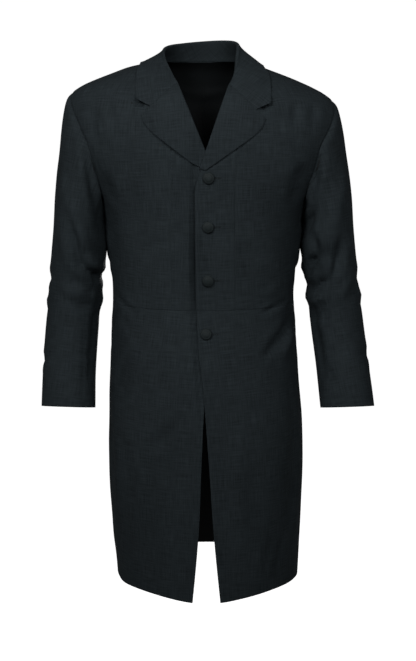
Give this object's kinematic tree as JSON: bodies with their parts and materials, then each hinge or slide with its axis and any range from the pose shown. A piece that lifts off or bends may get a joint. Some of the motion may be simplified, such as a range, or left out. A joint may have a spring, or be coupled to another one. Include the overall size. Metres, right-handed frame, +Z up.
{
  "type": "frock coat",
  "caption": "Knee-length frock coat in worn form: notched collar and lapels, waist seam, skirts open below the buttoned front, two-part sleeves, hollow inside.",
  "frame": {"origin": "middle of the neck opening, level with the points where the shoulders meet the neck, where the wearer's shoulders hold the coat", "axes": "+Z up, the front faces -Y, +X is the wearer's left"},
  "size_m": [0.6669, 0.3685, 1.0936],
  "materials": {
    "wool": "matte",
    "button_cloth": "satin"
  },
  "bodies": {
    "root": {"front_centre_left": "wool", "front_centre_right": "wool", "front_side_left": "wool", "front_side_right": "wool", "side_body_left": "wool", "side_body_right": "wool", "back_left": "wool", "back_right": "wool", "skirt_left": "wool", "skirt_right": "wool", "sleeve_top_left": "wool", "sleeve_top_right": "wool", "sleeve_under_left": "wool", "sleeve_under_right": "wool", "lapel_left": "wool", "lapel_right": "wool", "collar": "wool", "button_1": "button_cloth", "button_2": "button_cloth", "button_3": "button_cloth", "button_4": "button_cloth"}
  },
  "joints": []
}
